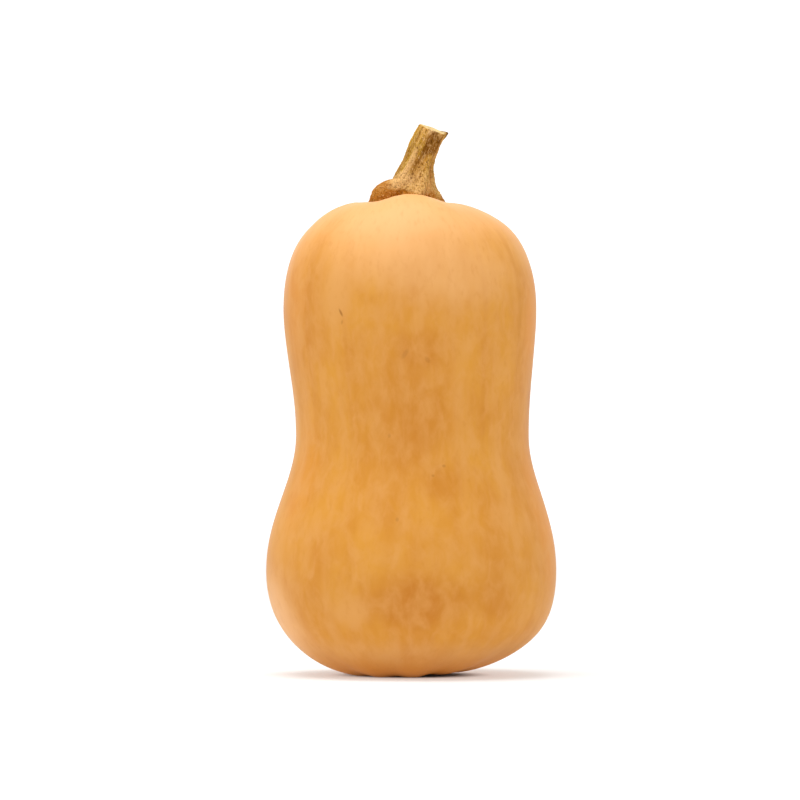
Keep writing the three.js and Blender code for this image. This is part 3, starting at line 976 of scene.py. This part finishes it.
def stem_tree():
    """Sweeps the stem's outline along its line, with ridges, toes, bark and the cut."""
    depths = ("Fibre Depth", "Crust Depth", "Lump Depth", "Wart Height")
    sizes = {
        "Object": ("Outline", "Line", "Rind"),
        "Int": ("Facets", "Rings"),
        "Float": ("Ridge Radius", "Groove Radius", "Twist", *depths, "Seed"),
        "Material": ("Material",),
    }
    tree, given = new_group("Grown Stem", sizes, ("Stem", "Geometry"))
    grid, azimuth, evenly = sleeve(tree, given["Facets"], given["Rings"])
    along = 0.0
    for (low, start), (high, end) in zip(RING_PLACES, RING_PLACES[1:]):
        stretch = add(tree, RAMP, (evenly, float(low), float(high), 0.0, end - start))
        along = add(tree, MATH, (stretch, along))
    outline = add(tree, OBJECT, {"Object": given["Outline"]}, out="Geometry")
    straight = add(tree, SAMPLE, {"Curves": outline, "Factor": along}, out="Position")
    wide, _, high = add(tree, SPLIT, (straight,), out=ALL)
    share = add(tree, MATH, (wide, OUTLINE_RADIUS * MM), **OVER)
    part = add(tree, MATH, (high, STEM_LENGTH * MM), **OVER)
    line = add(tree, OBJECT, {"Object": given["Line"]}, out="Geometry")
    centre = add(tree, SAMPLE, {"Curves": line, "Factor": part}, out="Position")
    centre_height = add(tree, SPLIT, (centre,), out="Z")
    climb = add(tree, MATH, (centre_height, FOOT_HEIGHT * MM), **MINUS)

    hump = hump_group()
    facing, right, back = ring_frame(tree, climb)
    shaft, turned, crest = ridged_radius(tree, given, azimuth, climb, hump)
    spur = torn_spur(tree, azimuth, climb, hump)
    smooth = add(tree, MATH, (spur, SPUR["flare"] * MM, shaft), **TIMES_PLUS)
    grown = add(tree, MATH, (azimuth, turned), **MINUS)
    bark = beside(tree, outward(tree, grown), (OUTLINE_RADIUS * MM,) * 3, high)
    even = add(tree, MATH, (smooth, share), **TIMES)
    even_place = in_ring(tree, centre, right, back, azimuth, even)
    relief, marks = bark_relief(tree, given, bark, even_place, climb)
    radius = add(tree, MATH, (relief, share, even), **TIMES_PLUS)

    tip = add(tree, MATH, (spur, share), **TIMES)
    sawn = add(tree, RAMP, (share, *CUT_MASK), **SMOOTH)
    cut = add(tree, RAMP, (tip, *SPUR_MASK, sawn, 0.0), **SMOOTH)
    marks.update({"crest": crest, "cut": cut, "share": share, "climb": climb, "spur": tip})
    held = {"Geometry": grid, "Name": "bark", "Value": bark}
    marked = add(tree, STORE, held, data_type="FLOAT_VECTOR")
    for name, value in marks.items():
        marked = add(tree, STORE, {"Geometry": marked, "Name": name, "Value": value})

    raised = add(tree, MATH, (tip, SPUR["rise"] * MM), **TIMES)
    round_place = in_ring(tree, centre, right, back, azimuth, radius)
    place = add(tree, VECTOR, (facing, raised, round_place), **TIMES_PLUS)
    closed_surface(tree, marked, seated(tree, given, place), given["Material"])
    return tree


def bark_patches(tree, bark, patches):
    """The mask and the strength of each patch of the bark."""
    return patch_masks(tree, bark, lambda height: OUTLINE_RADIUS, patches)


def patchy(tree, start, uneven, breakup, patches):
    """A value that is broken up by a noise, and grows where patches lie."""
    total = add(tree, MATH, (uneven, breakup, start), **TIMES_PLUS)
    for patch, strength in patches:
        total = add(tree, MATH, (patch, strength, total), **TIMES_PLUS)
    return total


def bark_colour(tree, sizes, bark, grit):
    """Tan ridges, grooves darkened with painted shade, a ruddy foot with pale warts and painted
    shade where it meets the rind, and a speckled crust.
    """
    crest, climb, fibres, crust, warts, spur = (
        add(tree, HELD, out="Fac", attribute_name=name)
        for name in ("crest", "climb", "fibre", "crust", "wart", "spur")
    )
    tints = stretched_noise(tree, bark, **TINTS)
    uneven = add(tree, MATH, (stretched_noise(tree, bark, **BLOTCHES), 0.5), **MINUS)
    dark, red = GROOVE_SHADE, FOOT_REDNESS
    # Painted shade: the grooves are darkened below a height of their crest.
    groove_shade = add(tree, RAMP, (crest, dark["crest"], 0.0, 0.0, dark["full"]), **SMOOTH)
    shade_and_dark_bark = patchy(tree, groove_shade, uneven, dark["breakup"], bark_patches(tree, bark, SHADE_AND_DARK_BARK_PATCHES))
    foot = (climb, red["from"] * MM, red["to"] * MM, 0.0, red["full"])
    low = add(tree, RAMP, foot, **SMOOTH)
    ruddy = patchy(tree, low, uneven, red["breakup"], bark_patches(tree, bark, RUDDY))
    flanks = bark_patches(tree, bark, OLIVES)
    worn = bark_patches(tree, bark, PALES)

    # Each layer's colour and mask, where the mask starts and ends to show it, and how much.
    layers = (
        (sizes.olive, tints, 0.4, 0.62, 0.8),
        (sizes.pale, climb, 19 * MM, 8 * MM, 0.35),
        *((sizes.olive, flank, 0.0, 0.6, strength) for flank, strength in flanks),
        *((sizes.pale, patch, 0.0, 0.6, strength) for patch, strength in worn),
        (sizes.pale, crust, 0.52, 0.66, 0.45),
        # Painted shade in the grooves and in some patches, with darker bark in others.
        (sizes.groove, shade_and_dark_bark, 0.1, 0.95, 0.9),
        # Painted shade: the lowest part of the stem, where it meets the rind, is darkened.
        (sizes.groove, climb, 4.5 * MM, 1.5 * MM, 0.65),
        (sizes.pale, fibres, 0.5, 0.72, 0.45),
        (sizes.groove, fibres, 0.48, 0.3, 0.6),
        (sizes.pale, crust, 0.54, 0.68, 0.35),
        (sizes.foot, ruddy, 0.25, 0.85, 0.8),
        (sizes.pore, crust, 0.47, 0.3, 0.72),
        (sizes.pale, warts, 0.3, 0.9, 0.55),
        (sizes.pale, grit, 0.45, 0.3, 0.4),
        (sizes.pore, grit, 0.54, 0.68, 0.65),
        (sizes.pore, spur, 0.2, 0.8, 0.85),
    )
    return layered(tree, sizes.ridge[:], layers)


def cut_colour(tree, sizes, bark):
    """Cream flesh with fine rays, a ring of dark vessels and a thin brown edge."""
    share = add(tree, HELD, out="Fac", attribute_name="share")
    x, y, _ = add(tree, SPLIT, (bark,), out=ALL)
    angle = add(tree, MATH, (x, y), operation="ARCTAN2")
    flat = add(tree, VECTOR, (bark, (1, 1, 0)), **TIMES)
    drift = stretched_noise(tree, flat, **DRIFT)
    even = add(tree, MATH, (angle, float(VESSELS["count"])), **TIMES)
    turn = add(tree, MATH, (drift, VESSELS["round"], even), **TIMES_PLUS)
    spaced = add(tree, MATH, (turn,), operation="COSINE")
    strayed = add(tree, MATH, (drift, -VESSELS["across"], share), **TIMES_PLUS)
    # The noise is about a half on average, so half of the stray is taken off.
    off = add(tree, MATH, (strayed, VESSELS["share"] - VESSELS["across"] / 2), **MINUS)
    apart = add(tree, MATH, (off,), operation="ABSOLUTE")
    ring = add(tree, RAMP, (apart, VESSELS["half"], VESSELS["half"] / 3, 0.0, 1.0), **SMOOTH)
    dots = add(tree, MATH, (spaced, ring), **TIMES)
    layers = (
        (sizes.pale, stretched_noise(tree, flat, **RAYS), 0.45, 0.7, 0.5),
        (sizes.pale, share, CUT["pith"], CUT["pith"] / 2, 0.7),
        (sizes.vessel, dots, 0.1, 0.7, 0.85),
        (sizes.groove, share, 0.9, 0.99, 0.8),
    )
    return layered(tree, sizes.flesh[:], layers)


def dry_corky_stem(sizes):
    """Squash stem, cut and dried: corky, matt and fibrous, tan on its ridges.

    The bark's pattern follows its fibres, which twist with the ridges.
    """
    material, tree, shader = new_material("dry corky stem")
    bark = add(tree, HELD, out="Vector", attribute_name="bark")
    body = add(tree, "ShaderNodeTexCoord", out="Object")
    grit = stretched_noise(tree, body, **GRIT)
    skin, face = bark_colour(tree, sizes, bark, grit), cut_colour(tree, sizes, bark)
    cut = add(tree, HELD, out="Fac", attribute_name="cut")
    colour = add(tree, MIX, {FACTOR: cut, FIRST: skin, SECOND: face}, **COLOUR_MIX)
    fibres = add(tree, HELD, out="Fac", attribute_name="fibre")
    set_surface(tree, shader, colour, STEM_GLOSS, fibres, STEM_BUMP, grit)
    return material


class StemSettings(bpy.types.PropertyGroup):
    """The sizes and colours of the stem."""

    ridge_radius: length_setting("Ridge Radius", "Radius of the stem on the crest of a ridge", 6.9)
    groove_radius: length_setting(
        "Groove Radius", "Radius of the stem in the grooves between ridges", 5.6
    )
    twist: FloatProperty(
        name="Twist",
        description="How far the ridges turn from the foot to the cut",
        default=math.radians(40),
        unit="ROTATION",
        subtype="ANGLE",
    )
    fibre_depth: length_setting("Fibre Depth", "Depth of the fine fibres of the bark", 0.9)
    crust_depth: length_setting(
        "Crust Depth", "Depth of the pits between the grains of the bark's crust", 0.75
    )
    lump_depth: length_setting("Lump Depth", "Depth of the uneven lumps of the bark", 0.9)
    wart_height: length_setting("Wart Height", "Height of the corky warts on the foot", 0.45)
    ridge: colour_setting("Ridge", "Colour of the bark on the ridges", "#c58f3e")
    olive: colour_setting("Olive", "Colour of the yellower tints of the bark", "#b58a2c")
    # The groove colour is dark bark, and also the colour of the painted shade on the stem.
    groove: colour_setting("Groove", "Colour of the grooves and of the dark patches", "#7a4a0a")
    pale: colour_setting("Pale", "Colour of dry fibres and of the tops of warts", "#e2b67c")
    foot: colour_setting("Foot", "Colour of the ruddy foot", "#a8650f")
    pore: colour_setting("Pore", "Colour of the dark pores and of the spur", "#583006")
    flesh: colour_setting("Flesh", "Colour of the cut face", "#d4bb86")
    vessel: colour_setting("Vessel", "Colour of the vessels in the cut face", "#5c4a20")
    facets: IntProperty(name="Facets", description="Faces round the stem", default=220)
    rings: IntProperty(name="Rings", description="Faces along the outline", default=400)
    seed: IntProperty(name="Seed", description="Chooses where fibres and warts lie", default=5)


class SQUASH_OT_stem(bpy.types.Operator):
    """Grow the stem, from its toes on the crown to the knife cut"""

    bl_idname = "squash.stem"
    bl_label = "Grow Stem"

    def execute(self, context):
        sizes = context.scene.squash_stem
        outline = bezier_object("stem outline", stem_outline())
        start, before, after, end = STEM_LINE
        line = bezier_object("stem line", ((start, None, before), (end, after, None)))
        given = {
            "Outline": outline,
            "Line": line,
            "Rind": bpy.data.objects["squash_rind"],
            "Seed": float(sizes.seed),
            "Material": dry_corky_stem(sizes),
        }
        stem = grow("squash_stem", stem_tree(), sizes, given, [outline, line])
        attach(stem, "root")
        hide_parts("stem")
        return {"FINISHED"}


# Stage


def place_camera():
    """A long lens, nearly level, from the front."""
    data = bpy.data.cameras.new("camera")
    data.lens = CAMERA["lens"]
    data.sensor_width = CAMERA["sensor"]
    data.clip_end = CAMERA["sees"]
    distance = CAMERA["across"] * CAMERA["lens"] / CAMERA["sensor"]
    tilt = math.radians(CAMERA["elevation"])
    back = Vector((0, -math.cos(tilt), math.sin(tilt)))
    camera = bpy.data.objects.new("camera", data)
    camera.location = (Vector(AIM) + back * distance) * MM
    camera.rotation_euler = (-back).to_track_quat("-Z", "Y").to_euler()
    bpy.context.scene.collection.objects.link(camera)
    bpy.context.scene.camera = camera


def glowing_floor(colour, glow):
    """A matt white sheet that glows as a fill light though it is no lamp: it has no glow right round
    the middle, which paints a contact shadow under what stands there, and glows more further out.
    """
    material, tree, shader = new_material("glowing floor with painted shadow")
    place = add(tree, "ShaderNodeTexCoord", out="Object")
    fibres = stretched_noise(tree, place, **SHEET_FIBRES)
    darker = [c * SHEET["darkest"] for c in colour[:3]] + [1]
    mottled = {FACTOR: fibres, FIRST: colour, SECOND: darker}
    tree.links.new(add(tree, MIX, mottled, **COLOUR_MIX), shader.inputs["Base Color"])
    shader.inputs["Roughness"].default_value = SHEET["roughness"]
    radius = from_axis(tree, place)
    strength = FLOOR_GLOW_AND_PAINTED_SHADOW[0][1] * glow
    for (near, dim), (far, bright) in zip(FLOOR_GLOW_AND_PAINTED_SHADOW, FLOOR_GLOW_AND_PAINTED_SHADOW[1:]):
        ramp = (radius, near, far, 0.0, (bright - dim) * glow)
        strength = add(tree, MATH, (add(tree, RAMP, ramp, **SMOOTH), strength))
    shader.inputs["Emission Color"].default_value = (1, 1, 1, 1)
    tree.links.new(strength, shader.inputs["Emission Strength"])
    return material


def lay_floor(colour, glow):
    """A round floor that sweeps up all round into a pale wall."""
    profile = [(0, 0)]
    steps = range(COVE["steps"] + 1)
    for angle in (math.pi / 2 * i / COVE["steps"] for i in steps):
        out = COVE["floor"] + COVE["bend"] * math.sin(angle)
        profile.append((out, COVE["bend"] * (1 - math.cos(angle))))
    profile.append((COVE["floor"] + COVE["bend"], COVE["wall"]))
    sides = COVE["sides"]
    turns = [math.tau * i / sides for i in range(sides)]
    points = [(0, 0, 0)]
    points += [(r * math.cos(t), r * math.sin(t), z) for r, z in profile[1:] for t in turns]
    faces = [(0, 1 + i, 1 + (i + 1) % sides) for i in range(sides)]
    for ring in range(len(profile) - 2):
        low, high = 1 + ring * sides, 1 + (ring + 1) * sides
        for i in range(sides):
            j = (i + 1) % sides
            faces.append((low + i, high + i, high + j, low + j))
    mesh = bpy.data.meshes.new("seamless floor")
    mesh.from_pydata(points, [], faces)
    mesh.shade_smooth()
    mesh.materials.append(glowing_floor(colour, glow))
    floor = bpy.data.objects.new("seamless_floor", mesh)
    bpy.context.scene.collection.objects.link(floor)


def hang_softbox(name, power, size, place):
    """A large soft lamp that faces the middle of the squash."""
    lamp = bpy.data.lights.new(name, "AREA")
    lamp.shape = "SQUARE"
    lamp.size = size
    lamp.energy = power
    box = bpy.data.objects.new(name, lamp)
    box.location = place
    box.rotation_euler = (Vector(place) - Vector(AIM) * MM).to_track_quat("Z", "Y").to_euler()
    bpy.context.scene.collection.objects.link(box)


def light_softly(sizes):
    """White light from all round, and one large softbox overhead."""
    world = bpy.data.worlds.new("white surroundings")
    world.use_nodes = True
    background = world.node_tree.nodes["Background"]
    background.inputs["Color"].default_value = (1, 1, 1, 1)
    background.inputs["Strength"].default_value = sizes.world_light
    bpy.context.scene.world = world
    bpy.context.scene.view_settings.view_transform = "Standard"
    hang_softbox("overhead softbox", sizes.lamp_power, sizes.lamp_width, LAMP_PLACE)


class StageSettings(bpy.types.PropertyGroup):
    """The floor and the lights."""

    floor_colour: colour_setting("Floor Colour", "Colour of the pale seamless floor", "#cbcbcb")
    # The floor's glow lights the squash though the floor is no lamp, and falls to none round its
    # base, a painted contact shadow.
    floor_glow: FloatProperty(
        name="Floor Glow",
        description="Strength of the light that comes through the floor, far from the squash",
        default=0.65,
    )
    world_light: FloatProperty(
        name="World Light",
        description="Strength of the white light from all round",
        default=0.6,
    )
    lamp_power: FloatProperty(
        name="Lamp Power",
        description="Power of the overhead softbox",
        default=13.2,
        unit="POWER",
    )
    lamp_width: FloatProperty(
        name="Lamp Width",
        description="Width of the overhead softbox",
        default=1.0,
        unit="LENGTH",
        subtype="DISTANCE",
    )


class SQUASH_OT_stage(bpy.types.Operator):
    """Set the camera, the soft lights and the pale seamless floor"""

    bl_idname = "squash.stage"
    bl_label = "Set Stage"

    def execute(self, context):
        sizes = context.scene.squash_stage
        place_camera()
        lay_floor(sizes.floor_colour[:], sizes.floor_glow)
        light_softly(sizes)
        return {"FINISHED"}


# Panel


class SQUASH_PT_parts(bpy.types.Panel):
    """Lists the stage and the pieces, each with its settings"""

    bl_idname = "SQUASH_PT_parts"
    bl_label = "Butternut Squash"
    bl_space_type = "VIEW_3D"
    bl_region_type = "UI"
    bl_category = "Squash"

    def draw(self, context):
        scene = context.scene
        parts = (
            (SQUASH_OT_stage, scene.squash_stage),
            (SQUASH_OT_rind, scene.squash_rind),
            (SQUASH_OT_stem, scene.squash_stem),
        )
        for operator, sizes in parts:
            box = self.layout.box()
            box.operator(operator.bl_idname)
            for name in type(sizes).__annotations__:
                box.prop(sizes, name)


CLASSES = (
    RindSettings,
    StemSettings,
    StageSettings,
    SQUASH_OT_rind,
    SQUASH_OT_stem,
    SQUASH_OT_stage,
    SQUASH_PT_parts,
)


def register():
    for made in CLASSES:
        bpy.utils.register_class(made)
    bpy.types.Scene.squash_rind = PointerProperty(type=RindSettings)
    bpy.types.Scene.squash_stem = PointerProperty(type=StemSettings)
    bpy.types.Scene.squash_stage = PointerProperty(type=StageSettings)


def unregister():
    del bpy.types.Scene.squash_stage
    del bpy.types.Scene.squash_stem
    del bpy.types.Scene.squash_rind
    for made in reversed(CLASSES):
        bpy.utils.unregister_class(made)


def main():
    register()
    bpy.ops.squash.stage()
    bpy.ops.squash.rind()
    bpy.ops.squash.stem()


if __name__ == "__main__":
    main()
